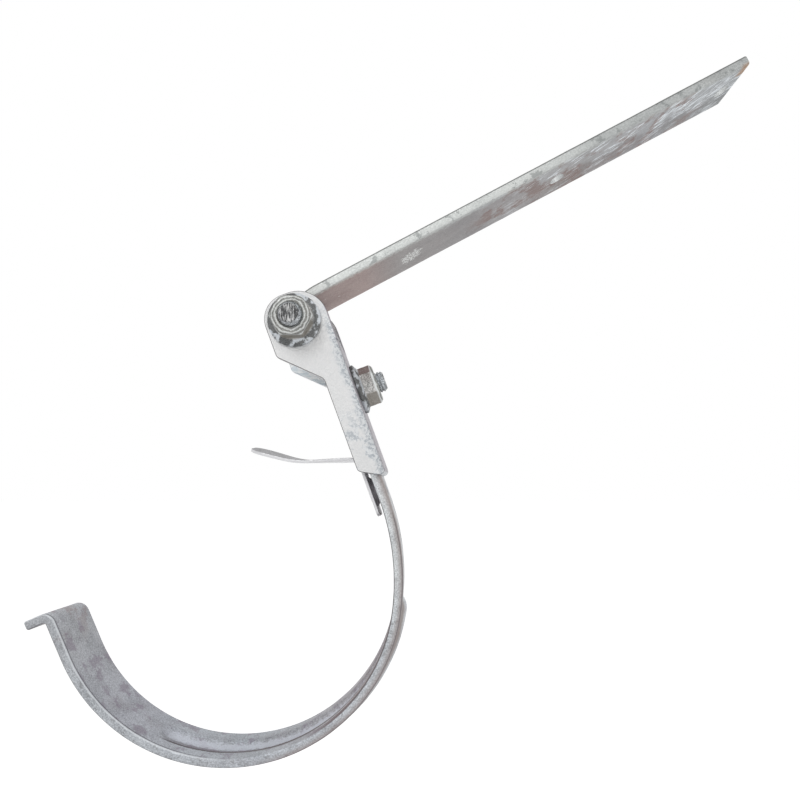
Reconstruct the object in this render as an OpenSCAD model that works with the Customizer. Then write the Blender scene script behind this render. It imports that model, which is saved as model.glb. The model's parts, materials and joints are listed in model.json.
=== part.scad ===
// Hinged gutter bracket for a half-round gutter, hot-dip galvanised steel.
// A flat arm is screwed on a rafter. It ends in a rolled eye between the cheeks of a folded bracket,
// where a bolt lets the pitch be set. The hook's leg stands in the folded channel below, clamped by
// a second bolt through a slot, so the height can be set too. A spring strip on the leg holds the
// gutter's rear edge.
// X runs towards the roof, Y along the gutter and Z up. The origin is the middle screw hole of the
// arm, on the underside that lies on the rafter.

/* [Pose] */
// Pitch of the arm above level, degrees
arm_pitch = 28; // [0:1:45]
// Lean of the bracket and the hook's leg from upright, degrees
leg_lean = 20; // [0:1:45]

/* [Bar and sheet] */
// Width of the flat bar that the arm and the hook are made of
bar_w = 30; // [24:1:40]
// Thickness of the flat bar with its zinc
bar_t = 4.3; // [3.5:0.1:5]
// Thickness of the folded bracket's sheet
sheet_t = 3; // [2.5:0.1:3.5]
// Play between the bar's edges and each cheek
side_gap = 0.3; // [0.2:0.05:0.6]
// Play between the leg's faces and what clamps it
face_gap = 0.1; // [0.05:0.01:0.2]

/* [Arm] */
// Length of the arm from the pivot to its end
arm_len = 240; // [200:5:320]
// Offset of the bar above the eye's bore
arm_crank = 2.1; // [0:0.1:3]
// Length of the slanted part between the eye and the straight bar
crank_len = 16; // [12:1:22]
// How far the eye is rolled round the bolt, degrees
eye_turn = 292; // [270:1:295]
// Diameter of the screw holes
screw_d = 7; // [5:0.5:9]
// Distance from the arm's end to the last screw hole
end_margin = 7; // [6:0.5:20]
// Distance between the two screw holes
screw_pitch = 90; // [60:1:110]

/* [Bolts and nuts] */
// Thread diameter of both bolts
bolt_d = 10; // [8:0.5:12]
// Length of the pivot bolt under its head
pivot_bolt_l = 50; // [50:1:60]
// Length of the clamp bolt under its head
clamp_bolt_l = 21.5; // [20:0.5:30]
// Diameter of the round bolt head
head_d = 25; // [22:0.5:27]
// Height of the round bolt head
head_h = 5.5; // [4:0.5:6.5]
// Width across the flats of the nuts
nut_af = 17; // [16:0.5:20]
// Height of the nuts
nut_h = 10.2; // [8:0.2:12]
// Diameter of the nuts' flange
flange_d = 24; // [23:0.2:26.4]
// Thickness of the flange at its rim
flange_t = 1.5; // [1:0.1:2.5]
// Running clearance of the pivot bolt in the eye, on the radius
run_gap = 0.08; // [0.02:0.01:0.1]
// Clearance of each nut on its thread and of the rivet in its holes, on the radius
thread_gap = 0.05; // [0.02:0.01:0.1]
// Clearance of the bolts in the sheet's holes, on the radius
hole_gap = 0.4; // [0.2:0.1:0.8]
// Clearance of each square neck in its hole or slot, on each side
neck_gap = 0.3; // [0.2:0.05:0.5]

/* [Bracket] */
// Distance from the pivot to the web's outer face
web_reach = 15.4; // [15:0.1:18]
// Height of the cheeks above the pivot
cheek_top = 13.1; // [12:0.1:14]
// Distance from the pivot to the cheeks' front edge
cheek_front = 13.4; // [12.4:0.1:14]
// Rounding of the cheeks' top corner over the web
back_round = 14.1; // [12:0.1:14.4]
// Rounding of the cheeks' top corner at the front
front_round = 11.5; // [8:0.1:12]
// Depth of the channel from the web's outer face to the cheeks' free edges
channel_depth = 11.9; // [10:0.1:14]
// Distance from the pivot down to the web's upper edge
web_top = 14; // [12:0.5:18]
// Distance from the pivot down to the channel's lower end at the web
bracket_len = 80.5; // [72:0.5:86]
// How much higher the channel's end is at its free edges
end_slant = 6.5; // [0:0.5:10]
// Rounding of the corners at the channel's end
end_round = 2.5; // [1:0.5:3]
// Distance from the pivot down to the cheeks' front corner
cheek_drop = 12.8; // [10:0.2:16]
// Rounding of the cheeks' front corner
cheek_round = 3; // [1:0.5:4]
// Distance from the pivot down to the throat, where the cheeks narrow to the channel
throat_drop = 29.2; // [27:0.2:32]
// Rounding of the throat
throat_round = 4; // [2:0.5:6]
// Distance from the pivot down to the clamp bolt
clamp_drop = 36; // [34:0.5:42]

/* [Hook] */
// Inner radius of the gutter seat
seat_r = 77.5; // [60:0.5:85]
// Inner radius of the more open bend behind the gutter
back_r = 110; // [95:1:130]
// Turn of the open bend behind the gutter, degrees
back_turn = 26.5; // [15:0.5:35]
// Turn of the gutter seat, degrees
seat_turn = 150.7; // [140:0.1:155]
// Distance from the pivot down to the leg's upper end
leg_top = 14; // [13.5:0.1:15]
// Distance from the pivot down to the end of the straight leg
leg_end = 89.5; // [86:0.5:105]
// Travel of the hook up from here
travel_up = 5; // [2:0.5:5]
// Travel of the hook down from here
travel_down = 10; // [5:0.5:10]
// Length of the straight front above the seat
front_rise = 17; // [10:0.5:30]
// Turn of the front lip, degrees
lip_turn = 91; // [70:1:100]
// Length of the lip beyond its bend
lip_len = 8; // [5:0.5:15]
// Inside radius of the lip's bend
lip_bend_r = 1; // [0.5:0.1:3]
// Width of the stiffening bead on the seat's inside
bead_w = 13.6; // [10:0.2:16]
// Depth of the stiffening bead
bead_depth = 2.5; // [1.5:0.1:3]
// Turn of the seat before the bead reaches its full depth, degrees
bead_from = 1.5; // [1:0.5:20]
// Turn of the seat where the bead starts to run out, degrees
bead_to = 105.5; // [80:0.5:125]
// Radius of the bead's centre line where it runs out at each end
bead_runout_r = 8; // [6:0.5:12]

/* [Spring strip] */
// Width of the spring strip
strip_w = 20; // [16:0.5:24]
// Thickness of the spring strip
strip_t = 1.5; // [1:0.1:2]
// Gap between the strip and the leg, for the gutter's rear edge
strip_gap = 2.3; // [1.5:0.1:2.6]
// Length of the strip's upright part
strip_leg = 24.4; // [21:0.2:28]
// Distance from the straight leg's end down to the strip's lower end
strip_drop = 7.1; // [5:0.1:8]
// Inside radius of the strip's main bend
strip_bend_r = 5; // [3:0.5:6]
// Turn of the main bend, degrees
strip_turn = 72; // [60:1:85]
// Length of the tongue's flat part
tongue_flat = 18; // [10:1:30]
// Radius of the tongue's upward curve
tongue_curve_r = 42; // [30:1:60]
// Turn of the tongue's upward curve, degrees
tongue_turn = 17; // [5:1:30]
// Length of the tongue beyond the curve
tongue_tip = 17.5; // [12:0.5:25]
// Rounding of the strip's lower corners
strip_round = 3.5; // [2:0.5:7]
// Diameter of the rivet's shank
rivet_d = 5; // [4:0.5:6]
// Diameter of the rivet's two heads
rivet_head_d = 8.4; // [7.5:0.1:9]
// Distance from the strip's lower end to the rivet
rivet_up = 12; // [12:0.2:14]

/* [Hidden] */
$fn = 96;
bolt_r = bolt_d / 2;
eye_r = bolt_r + run_gap;
arm_under = eye_r + arm_crank;
screw_at = arm_len - end_margin - screw_pitch;
half_in = bar_w / 2 + side_gap;
half_out = half_in + sheet_t;
web_in = web_reach - sheet_t;
leg_out = web_in - face_gap;
leg_in = leg_out - bar_t;
free_edge = web_reach - channel_depth;
// Each square neck stays this far back from the far face of what it stands in
neck_back = 0.3;
// Flat rim of the round head, and the thread's chamfer at the bolt's end
head_rim = 0.4;
end_chamfer = 1.2;
// Nuts: chamfer and inset of the free face's corners, flare of the bore, slope of the flange
nut_chamfer = 1.6;
face_inset = 0.4;
bore_flare = 0.8;
flange_slope = 0.6;
// What a step of a bent strip reaches back into the one before, and how far the faces of every
// second step lie inside those of its neighbours
lap = 0.2;
hair = 0.02;
// Turn of one side of a rounded corner
arc_step = 6;
slot_w = bolt_d + 2 * neck_gap;
slot_up = travel_down + bolt_r + neck_gap;
slot_down = travel_up + bolt_r + neck_gap;
slot_round = 2 * neck_gap;
// The bead's section is two arcs on one centre, bar_t apart
bead_in_r = (bead_w * bead_w / 4 + bead_depth * bead_depth) / (2 * bead_depth);
bead_out_r = bead_in_r + bar_t;
bead_path_r = seat_r + bead_depth - bead_in_r;
strip_end = leg_end + strip_drop;
strip_out = leg_in - strip_gap;
rivet_z = -(strip_end - rivet_up);
rivet_hole_r = rivet_d / 2 + thread_gap;
rivet_sink = (rivet_head_d - rivet_d) / 2;
rivet_head_h = 1.4;
rivet_rim = 0.6;
// The cup leaves a flat rim beside it, and its wall thins where it is drawn
cup_rim = 1.8;
cup_wall = 0.6;
cup_r = strip_w / 2 - cup_rim;
cup_floor_r = rivet_head_d / 2 + cup_wall;
cup_face = leg_in - strip_t;

zinc = [0.66, 0.68, 0.69];
light_zinc = [0.80, 0.81, 0.81];
dark_zinc = [0.52, 0.52, 0.53];

// Frames with the pivot at their origin: the arm's runs along it, the leg's has +Z up the leg
module arm_frame() rotate([0, -arm_pitch, 0]) translate([-screw_at, 0, -arm_under]) children();
module leg_frame() arm_frame() rotate([0, arm_pitch - leg_lean, 0]) children();

// A flat outline in X and Z, made w wide along Y
module slab(w) rotate([90, 0, 0]) linear_extrude(w, center = true) children();

// A section in radius and width, turned round the Y axis from one angle to another
module turned(from, to)
    rotate([90, 0, 0]) rotate([0, 0, from]) rotate_extrude(angle = to - from) children();

// Corner points of a polygon, each [x, y, radius], with the corners rounded
function corner(p, q, r) =
    let (a = [p.x - q.x, p.y - q.y], b = [r.x - q.x, r.y - q.y], ua = a / norm(a), ub = b / norm(b),
         half = acos(ua * ub) / 2, back = q[2] / tan(half), mid = (ua + ub) / norm(ua + ub),
         c = [q.x, q.y] + mid * q[2] / sin(half), s = [q.x, q.y] + ua * back - c,
         e = [q.x, q.y] + ub * back - c, a0 = atan2(s.y, s.x), turn = atan2(e.y, e.x) - a0,
         sweep = turn > 180 ? turn - 360 : turn < -180 ? turn + 360 : turn,
         steps = ceil(abs(sweep) / arc_step))
    [for (i = [0:steps]) c + q[2] * [cos(a0 + sweep * i / steps), sin(a0 + sweep * i / steps)]];
function rounded(pts) =
    let (n = len(pts))
    [for (i = [0:n - 1]) each
        pts[i][2] > 0 ? corner(pts[(i + n - 1) % n], pts[i], pts[(i + 1) % n]) : [[pts[i].x, pts[i].y]]];

// A strip bent in steps, w wide and t thick. Each step is [length] for a straight or [radius, angle]
// for a bend, where the radius is on the bend's inside. It starts along +X with its face on Z = 0
// and its thickness below. A positive angle bends it towards +Z. Children are drawn at its end.
// Each step reaches back a little into the one before, and every second one is a hair smaller.
module bent(steps, w, t, i = 0) {
    early = i == 0 ? 0 : lap;
    thin = i % 2 * hair;
    tt = t - 2 * thin;
    ww = w - 2 * thin;
    if (i == len(steps)) children();
    else if (len(steps[i]) == 1) {
        translate([-early, -ww / 2, thin - t]) cube([steps[i][0] + early, ww, tt]);
        translate([steps[i][0], 0, 0]) bent(steps, w, t, i + 1) children();
    } else {
        r = steps[i][0];
        turn = steps[i][1];
        back = early / (r + t) * 180 / PI;
        if (turn > 0) translate([0, 0, r]) {
            turned(-90 - back, -90 + turn) translate([r + thin, -ww / 2]) square([tt, ww]);
            rotate([0, -turn, 0]) translate([0, 0, -r]) bent(steps, w, t, i + 1) children();
        }
        else translate([0, 0, -t - r]) {
            turned(90 + turn, 90 + back) translate([r + thin, -ww / 2]) square([tt, ww]);
            rotate([0, -turn, 0]) translate([0, 0, r + t]) bent(steps, w, t, i + 1) children();
        }
    }
}

// Round-headed bolt with a square neck, its head's underside on Z = 0 and its thread down -Z
module round_head_bolt(l, neck) {
    dome_r = (head_d * head_d / 4 + head_h * head_h) / (2 * head_h);
    rotate_extrude() intersection() {
        translate([0, head_h - dome_r]) circle(dome_r);
        square([head_d / 2 - head_rim, head_h]);
    }
    translate([-bolt_r, -bolt_r, -neck]) cube([bolt_d, bolt_d, neck + head_rim]);
    rotate_extrude()
        polygon([[0, 0], [bolt_r, 0], [bolt_r, end_chamfer - l], [bolt_r - end_chamfer, -l], [0, -l]]);
}

// Hexagon nut with a flange, its seat on Z = 0 and its free end up +Z
module flange_nut() {
    corner_r = nut_af / sqrt(3);
    bore_r = bolt_r + thread_gap;
    wide_r = bore_r + bore_flare + lap;
    skirt_top = flange_t + (flange_d - nut_af) / 2 * flange_slope;
    difference() {
        union() {
            rotate_extrude() polygon([[0, 0], [flange_d / 2, 0], [flange_d / 2, flange_t],
                                      [nut_af / 2, skirt_top], [0, skirt_top]]);
            intersection() {
                cylinder(r = corner_r, h = nut_h, $fn = 6);
                rotate_extrude() polygon([[0, 0], [corner_r + 1, 0], [corner_r + 1, nut_h - nut_chamfer],
                                          [nut_af / 2 - face_inset, nut_h], [0, nut_h]]);
            }
        }
        translate([0, 0, -1]) cylinder(r = bore_r, h = nut_h + 2);
        for (z = [-lap, nut_h - bore_flare]) translate([0, 0, z])
            cylinder(r1 = z < 0 ? wide_r : bore_r, r2 = z < 0 ? bore_r : wide_r, h = bore_flare + lap);
    }
}

module rafter_arm() color(zinc) arm_frame() difference() {
    union() {
        turned(90, 90 + eye_turn) translate([eye_r, -bar_w / 2]) square([bar_t, bar_w]);
        slab(bar_w) polygon([[0, eye_r], [crank_len, arm_under], [arm_len, arm_under],
                             [arm_len, arm_under + bar_t], [crank_len, arm_under + bar_t], [0, eye_r + bar_t]]);
    }
    for (u = [screw_at, screw_at + screw_pitch])
        translate([u, 0, arm_under - 1]) cylinder(d = screw_d, h = bar_t + 2);
}

// Side view of the folded bracket: round top, front corner, slanted throat and channel
module bracket_side() polygon(rounded([
    [web_reach, cheek_top, back_round],
    [web_reach, -bracket_len, end_round],
    [free_edge, end_slant - bracket_len, end_round],
    [free_edge, -throat_drop, throat_round],
    [-cheek_front, -cheek_drop, cheek_round],
    [-cheek_front, cheek_top, front_round]]));

// The web and its two bends seen from above
module web_fold() difference() {
    union() {
        translate([0, -half_in]) square([web_reach, 2 * half_in]);
        for (side = [-1, 1]) translate([web_in, side * half_in]) circle(sheet_t);
    }
    translate([-1, -half_in]) square([web_in + 1, 2 * half_in]);
}

module pivot_bracket() color(light_zinc) leg_frame() difference() {
    intersection() {
        slab(2 * half_out) bracket_side();
        union() {
            for (side = [-1, 1]) translate([0, side * (half_in + sheet_t / 2) - sheet_t / 2, 0]) {
                translate([-cheek_front - 1, 0, -bracket_len - 1])
                    cube([cheek_front + 1 + web_in, sheet_t, bracket_len + cheek_top + 2]);
                translate([web_in - sheet_t, 0, -web_top])
                    cube([2 * sheet_t, sheet_t, web_top + cheek_top + 1]);
            }
            translate([0, 0, -bracket_len - 1]) linear_extrude(bracket_len + 1 - web_top) web_fold();
        }
    }
    rotate([90, 0, 0]) cylinder(r = bolt_r + hole_gap, h = half_out + 1);
    translate([-slot_w / 2, 0, -slot_w / 2]) cube([slot_w, half_out + 1, slot_w]);
    translate([0, 0, -clamp_drop]) rotate([0, 90, 0]) cylinder(r = bolt_r + hole_gap, h = web_reach + 1);
}

module pivot_bolt() color(dark_zinc) leg_frame()
    translate([0, half_out, 0]) rotate([-90, 0, 0]) round_head_bolt(pivot_bolt_l, sheet_t - neck_back);

module pivot_nut() color(zinc) leg_frame()
    translate([0, -half_out, 0]) rotate([90, 0, 0]) rotate([0, 0, -leg_lean]) flange_nut();

module clamp_bolt() color(dark_zinc) leg_frame()
    translate([leg_in - face_gap, 0, -clamp_drop]) rotate([0, -90, 0])
        round_head_bolt(clamp_bolt_l, bar_t - neck_back);

module clamp_nut() color(zinc) leg_frame()
    translate([web_reach, 0, -clamp_drop]) rotate([0, 90, 0]) flange_nut();

// Solid that follows the seat with a round section of radius r and sinks away from it at both ends.
// It is drawn with the seat's centre at its origin.
module bead_core(r) {
    shift = bead_path_r - bead_runout_r;
    start = -90 + bead_from;
    end = -90 + bead_to;
    turned(start, end) translate([bead_path_r, 0]) half_disc(r);
    rotate([0, -start, 0]) translate([shift, 0, 0]) turned(-45, 0) translate([bead_runout_r, 0]) half_disc(r);
    rotate([0, -end, 0]) translate([shift, 0, 0]) turned(0, 45) translate([bead_runout_r, 0]) half_disc(r);
}
module half_disc(r) intersection() {
    circle(r);
    translate([0, -r]) square([r, 2 * r]);
}

module gutter_hook() color(zinc) leg_frame()
    translate([leg_in, 0, -leg_top]) rotate([0, 90, 0]) mirror([0, 0, 1]) difference() {
        leg_l = leg_end - leg_top;
        union() {
            bent([[leg_l], [back_r, back_turn], [seat_r, seat_turn],
                  [front_rise], [lip_bend_r, -lip_turn], [lip_len]], bar_w, bar_t);
            intersection() {
                at_seat(leg_l) bead_core(bead_out_r);
                at_seat(leg_l) rotate([90, 0, 0]) difference() {
                    cylinder(r = seat_r + bar_t + bead_depth + 1, h = bar_w - 2, center = true);
                    cylinder(r = seat_r + bar_t / 2, h = bar_w, center = true);
                }
            }
        }
        at_seat(leg_l) bead_core(bead_in_r);
        leg_slot(clamp_drop - leg_top);
        translate([-leg_top - rivet_z, 0, -bar_t - 0.1]) rivet_hole();
    }
// Moves the seat's centre to the origin, with the seat starting straight below it
module at_seat(leg_l)
    translate([leg_l, 0, back_r]) rotate([0, -back_turn, 0]) translate([0, 0, seat_r - back_r]) children();
module leg_slot(at) translate([at, 0, -bar_t - 1]) linear_extrude(bar_t + 2) polygon(rounded([
    for (c = [[-slot_up, -1], [slot_down, -1], [slot_down, 1], [-slot_up, 1]])
        [c.x, c.y * slot_w / 2, slot_round]]));
module rivet_hole() {
    cylinder(r = rivet_hole_r, h = bar_t + 1);
    cylinder(r1 = rivet_hole_r + rivet_sink + 0.1, r2 = rivet_hole_r, h = rivet_sink + 0.1);
}

module spring_strip() color(light_zinc) leg_frame() {
    translate([strip_out - strip_t, 0, -strip_end]) rotate([0, -90, 0]) difference() {
        union() {
            translate([strip_round, 0, 0])
                bent([[strip_leg - strip_round], [strip_bend_r, strip_turn], [tongue_flat],
                      [tongue_curve_r, -tongue_turn], [tongue_tip - strip_w / 2]], strip_w, strip_t)
                    translate([0, 0, -strip_t]) intersection() {
                        cylinder(d = strip_w, h = strip_t);
                        translate([-strip_t, -strip_w / 2, 0]) cube([strip_w, strip_w, strip_t]);
                    }
            for (side = [-1, 1]) translate([strip_round, side * (strip_w / 2 - strip_round), -strip_t])
                cylinder(r = strip_round, h = strip_t);
            translate([0, strip_round - strip_w / 2, -strip_t])
                cube([strip_round, strip_w - 2 * strip_round, strip_t]);
        }
        translate([rivet_up, 0, -strip_t - 1]) cylinder(r = cup_r - lap, h = strip_t + 2);
    }
    translate([0, 0, rivet_z]) rotate([0, 90, 0]) rotate_extrude() polygon([
        [rivet_hole_r, leg_in], [cup_floor_r, leg_in], [cup_r, strip_out],
        [cup_r, strip_out - strip_t], [cup_r - cup_wall, strip_out - strip_t],
        [cup_floor_r - cup_wall / 2, cup_face], [rivet_hole_r, cup_face]]);
}

module spring_rivet() color(dark_zinc) leg_frame() translate([0, 0, rivet_z]) rotate([0, 90, 0])
    rotate_extrude() polygon([[0, cup_face - rivet_head_h], [rivet_d / 2, cup_face - rivet_head_h],
                              [rivet_head_d / 2, cup_face - rivet_rim], [rivet_head_d / 2, cup_face],
                              [rivet_d / 2, cup_face], [rivet_d / 2, leg_out - rivet_sink],
                              [rivet_head_d / 2, leg_out], [0, leg_out]]);

rafter_arm();
pivot_bracket();
pivot_bolt();
pivot_nut();
clamp_bolt();
clamp_nut();
gutter_hook();
spring_strip();
spring_rivet();
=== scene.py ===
import json
import math

import bmesh
import bpy
from mathutils import Matrix, Vector, noise


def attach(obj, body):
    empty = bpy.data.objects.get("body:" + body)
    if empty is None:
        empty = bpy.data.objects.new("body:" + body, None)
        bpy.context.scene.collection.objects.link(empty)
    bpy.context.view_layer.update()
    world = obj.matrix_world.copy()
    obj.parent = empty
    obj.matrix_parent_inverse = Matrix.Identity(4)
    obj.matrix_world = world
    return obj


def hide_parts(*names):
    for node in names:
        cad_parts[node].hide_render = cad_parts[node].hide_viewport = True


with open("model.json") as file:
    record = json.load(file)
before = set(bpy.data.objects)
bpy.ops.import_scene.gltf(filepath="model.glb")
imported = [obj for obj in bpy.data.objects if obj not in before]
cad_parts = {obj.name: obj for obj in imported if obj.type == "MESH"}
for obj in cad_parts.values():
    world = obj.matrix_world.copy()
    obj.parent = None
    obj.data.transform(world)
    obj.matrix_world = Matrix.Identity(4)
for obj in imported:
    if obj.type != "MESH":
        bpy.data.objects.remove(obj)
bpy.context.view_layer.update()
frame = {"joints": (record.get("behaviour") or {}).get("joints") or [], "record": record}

# Camera. It looks level and square at the bracket's side, from close by, in front of the gutter's
# end. A small shift frames the whole bracket.
joints = {joint["name"]: joint for joint in frame["joints"]}
pivot = Vector(joints["pitch_hinge"]["pos_m"])
camera_data = bpy.data.cameras.new("Camera")
camera_data.lens, camera_data.sensor_width = 27.3, 36
camera_data.shift_x, camera_data.shift_y = -0.0225, 0.109
camera = bpy.data.objects.new("Camera", camera_data)
camera.location = pivot + Vector((0.0559, -0.293, -0.0754))
camera.rotation_euler = (math.radians(90), 0, 0)
bpy.context.scene.collection.objects.link(camera)
bpy.context.scene.camera = camera
bpy.context.scene.view_settings.view_transform = "Standard"


# Light and floor. The room and the floor show white behind the bracket and in its zinc. One broad
# soft lamp stands high in front, a weaker one low on the roof's side, and the floor keeps the shadow.
def tone(red, green, blue):
    """A colour as a paint chart gives it, 0 to 255, as the shaders take it."""
    steps = [value / 255 for value in (red, green, blue)]
    return tuple(s / 12.92 if s < 0.04045 else ((s + 0.055) / 1.055) ** 2.4 for s in steps) + (1,)


class Shade:
    """Adds nodes to one tree. An input takes a plain value or another node's output."""

    def __init__(self, tree):
        self.tree = tree

    def add(self, kind, inputs=None, **settings):
        node = self.tree.nodes.new(kind if kind.startswith("NodeGroup") else "ShaderNode" + kind)
        for name, value in settings.items():
            setattr(node, name, value)
        for socket, value in (inputs or {}).items():
            if isinstance(value, bpy.types.NodeSocket):
                self.tree.links.new(value, node.inputs[socket])
            else:
                node.inputs[socket].default_value = value
        return node

    def math(self, operation, first, second=0.0, clamp=False):
        return self.add("Math", {0: first, 1: second}, operation=operation, use_clamp=clamp).outputs[0]

    def product(self, *factors):
        value = factors[0]
        for factor in factors[1:]:
            value = self.math("MULTIPLY", value, factor)
        return value

    def band(self, value, low, high, to_low=0.0, to_high=1.0):
        """Runs smoothly from to_low to to_high while the value goes from low to high."""
        inputs = {"Value": value, "From Min": low, "From Max": high, "To Min": to_low, "To Max": to_high}
        return self.add("MapRange", inputs, interpolation_type="SMOOTHSTEP").outputs["Result"]

    def window(self, value, middle, half, soft):
        """1 within half of the middle, and 0 from soft further out."""
        away = self.math("ABSOLUTE", self.math("SUBTRACT", value, middle))
        return self.band(away, half, half + soft, 1.0, 0.0)

    def noise(self, vector, scale, detail=4.0, rough=0.5):
        inputs = {"Vector": vector, "Scale": scale, "Detail": detail, "Roughness": rough}
        return self.add("TexNoise", inputs).outputs["Fac"]

    def ragged(self, value, cloud, reach):
        """The value, carried up to half the reach to either side as the cloud changes."""
        return self.math("ADD", value, self.math("MULTIPLY", self.math("SUBTRACT", cloud, 0.5), reach))

    def mix(self, factor, first, second, blend="MIX"):
        node = self.add("Mix", {0: factor, 6: first, 7: second}, data_type="RGBA", blend_type=blend)
        return node.outputs[2]

    def ramp(self, value, stops):
        """A colour ramp from (place, colour) stops."""
        node = self.add("ValToRGB", {"Fac": value})
        elements = node.color_ramp.elements
        while len(elements) < len(stops):
            elements.new(0.5)
        for element, (place, colour) in zip(elements, stops):
            element.position, element.color = place, colour
        return node.outputs["Color"]


def for_rays(shade, *kinds):
    """1 for light rays of these kinds, and 0 for all others."""
    rays = shade.add("LightPath").outputs
    value = rays["Is " + kinds[0] + " Ray"]
    for kind in kinds[1:]:
        value = shade.math("MAXIMUM", value, rays["Is " + kind + " Ray"])
    return value


ROOM_LIGHT, FLOOR_GLOW = 0.5, 0.62
world = bpy.data.worlds.new("Room")
bpy.context.scene.world = world
world.use_nodes = True
room = Shade(world.node_tree)
seen = for_rays(room, "Camera", "Glossy")
strength = room.add("MapRange", {"Value": seen, "To Min": ROOM_LIGHT, "To Max": 1.0}).outputs["Result"]
background = world.node_tree.nodes["Background"]
background.inputs["Color"].default_value = (1, 1, 1, 1)
world.node_tree.links.new(strength, background.inputs["Strength"])


def soft_lamp(name, place, size, watts):
    data = bpy.data.lights.new(name, "AREA")
    data.shape, data.size, data.energy = "DISK", size, watts
    lamp = bpy.data.objects.new(name, data)
    lamp.location = pivot + Vector(place)
    lamp.rotation_euler = (-Vector(place)).to_track_quat("-Z", "Y").to_euler()
    bpy.context.scene.collection.objects.link(lamp)


soft_lamp("Front lamp", (-0.55, -1.2, 0.9), 0.9, 6)
soft_lamp("Side lamp", (1.1, -0.7, 0.35), 0.7, 1.5)

FLOOR_SIZE, FLOOR_Z = 12.0, -0.45
floor_mesh = bpy.data.meshes.new("Floor")
corners = [(x * FLOOR_SIZE, y * FLOOR_SIZE, FLOOR_Z) for x, y in ((-1, -1), (1, -1), (1, 1), (-1, 1))]
floor_mesh.from_pydata(corners, [], [(0, 1, 2, 3)])
floor = bpy.data.objects.new("Floor", floor_mesh)
bpy.context.scene.collection.objects.link(floor)
floor_material = bpy.data.materials.new("Pale floor")
floor_material.use_nodes = True
ground = Shade(floor_material.node_tree)
glow = ground.math("MULTIPLY", for_rays(ground, "Camera", "Glossy", "Transmission"), FLOOR_GLOW)
paint = floor_material.node_tree.nodes["Principled BSDF"]
paint.inputs["Base Color"].default_value = (0.8, 0.8, 0.8, 1)
paint.inputs["Roughness"].default_value = 0.9
paint.inputs["Emission Color"].default_value = (1, 1, 1, 1)
floor_material.node_tree.links.new(glow, paint.inputs["Emission Strength"])
floor_mesh.materials.append(floor_material)


# Rafter arm. A flat steel bar with two screw holes, its lower end rolled into an eye for the pivot
# bolt, then dipped in molten zinc, which left rounded edges, runs and a dull crystal pattern.
MM = 0.001
BAR_W, BAR_T, BAR_EDGE = 30.0, 4.3, 0.9
screw_mid, screw_end = [Vector(m["pos_m"]) for m in frame["record"]["mounts"][:2]]
along_arm = (screw_end - screw_mid).normalized()
arm_slope = math.degrees(math.atan2(along_arm.z, along_arm.x))
slide_axis = Vector(joints["height_slide"]["axis"])
leg_slope = math.degrees(math.atan2(slide_axis.z, slide_axis.x)) - 90


def placed(slope, x, z):
    """A point given from the pivot in mm, x along the slope and z square to it, as (x, z) in mm."""
    turn = math.radians(slope)
    return (pivot.x / MM + x * math.cos(turn) - z * math.sin(turn),
            pivot.z / MM + x * math.sin(turn) + z * math.cos(turn))


def from_pivot(slope, x, y, z):
    """A point in mm from one given as x along the slope, y along the gutter and z square to both."""
    x, z = placed(slope, x, z)
    return x, y, z


def bent_path(start, heading, steps, pace=1.0):
    """Stations (run, x, z, heading) in mm and degrees along straights (length,) and bends (radius, turn)."""
    x, z = start
    run, stations = 0.0, [(0.0, x, z, heading)]
    for step in steps:
        turn = step[1] if len(step) == 2 else 0
        length = math.radians(abs(turn)) * step[0] if turn else step[0]
        count = max(2, math.ceil(length / pace))
        for _ in range(count):
            middle = math.radians(heading + turn / count / 2)
            half = math.radians(turn / count / 2)
            chord = length / count * (math.sin(half) / half if turn else 1)
            x, z = x + chord * math.cos(middle), z + chord * math.sin(middle)
            heading, run = heading + turn / count, run + length / count
            stations.append((run, x, z, heading))
    return stations


def bar_section(width, thick, edge, across):
    """Half of a bar's section, from the near edge's middle over the reference face to the far edge's
    middle: (y, depth, v), where v runs round it from 0."""
    points, round_steps = [(-width / 2, thick / 2)], 4
    for k in range(round_steps + 1):
        a = math.radians(90 * k / round_steps)
        points.append((edge * (1 - math.cos(a)) - width / 2, edge * (1 - math.sin(a))))
    points += [(width * (k / across - 0.5) * (1 - 2 * edge / width), 0.0) for k in range(1, across)]
    points += [(-y, depth) for y, depth in reversed(points[:round_steps + 2])]
    half, v = [], 0.0
    for i, (y, depth) in enumerate(points):
        v += math.dist(points[i], points[i - 1]) if i else 0.0
        half.append((y, depth, v))
    return half


def made(name, verts, faces, corners):
    """A closed piece from points in mm. Each corner of each face has its (u, v) in mm on the "run" map."""
    mesh = bpy.data.meshes.new(name)
    mesh.from_pydata([[c * MM for c in vert] for vert in verts], [], faces)
    mesh.uv_layers.new(name="run").data.foreach_set("uv", [c * MM for corner in corners for c in corner])
    bm = bmesh.new()
    bm.from_mesh(mesh)
    bmesh.ops.recalc_face_normals(bm, faces=bm.faces)
    bm.to_mesh(mesh)
    bm.free()
    piece = bpy.data.objects.new(name, mesh)
    bpy.context.scene.collection.objects.link(piece)
    return piece


def lump(run, y, depth, size, height):
    """The small unevenness that thick zinc leaves on a face."""
    return height * noise.noise(Vector((run / size, y / size, depth + 7.3)))


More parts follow.
